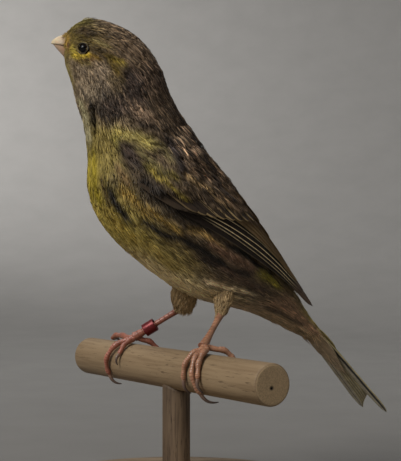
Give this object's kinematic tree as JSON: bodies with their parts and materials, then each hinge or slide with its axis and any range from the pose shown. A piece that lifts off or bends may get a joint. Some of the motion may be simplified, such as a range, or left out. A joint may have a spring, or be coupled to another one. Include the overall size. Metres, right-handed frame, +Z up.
{
  "type": "canary on a perch",
  "caption": "Still, life-size canary with olive-yellow breast and brown streaked back, gripping a round wooden perch on a display post.",
  "frame": {"origin": "centre of the stand's round base at its underside, on the post's axis", "axes": "+Z up; the bird faces -X and its left side faces -Y; the perch runs near to Y, turned 5.6 degrees"},
  "size_m": [0.1204, 0.1065, 0.1478],
  "materials": {
    "plumage_brown": "soft matt feathers",
    "plumage_yellow": "soft matt feathers",
    "plumage_grey": "soft matt feathers",
    "horn": "satin pinkish horn",
    "leg_skin": "satin scaled skin",
    "claw": "satin dark horn",
    "eye": "glossy black",
    "band": "anodised dark red",
    "perch_wood": "bare wood"
  },
  "bodies": {
    "root": {"claw_left_hind": "claw", "claw_left_inner": "claw", "claw_left_middle": "claw", "claw_left_outer": "claw", "claw_right_hind": "claw", "claw_right_inner": "claw", "claw_right_middle": "claw", "claw_right_outer": "claw", "eye_left": "eye", "eye_right": "eye", "foot_left": "leg_skin", "foot_right": "leg_skin", "head": "plumage_brown", "leg_band": "band", "lower_bill": "horn", "neck": "plumage_brown", "rump": "plumage_brown", "stand_base": "perch_wood", "stand_perch": "perch_wood", "stand_post": "perch_wood", "tail": "plumage_brown", "tarsus_left": "leg_skin", "tarsus_right": "leg_skin", "thigh_left": "plumage_grey", "thigh_right": "plumage_grey", "torso": "plumage_yellow", "upper_bill": "horn", "wing_left": "plumage_brown", "wing_right": "plumage_brown"}
  },
  "joints": []
}
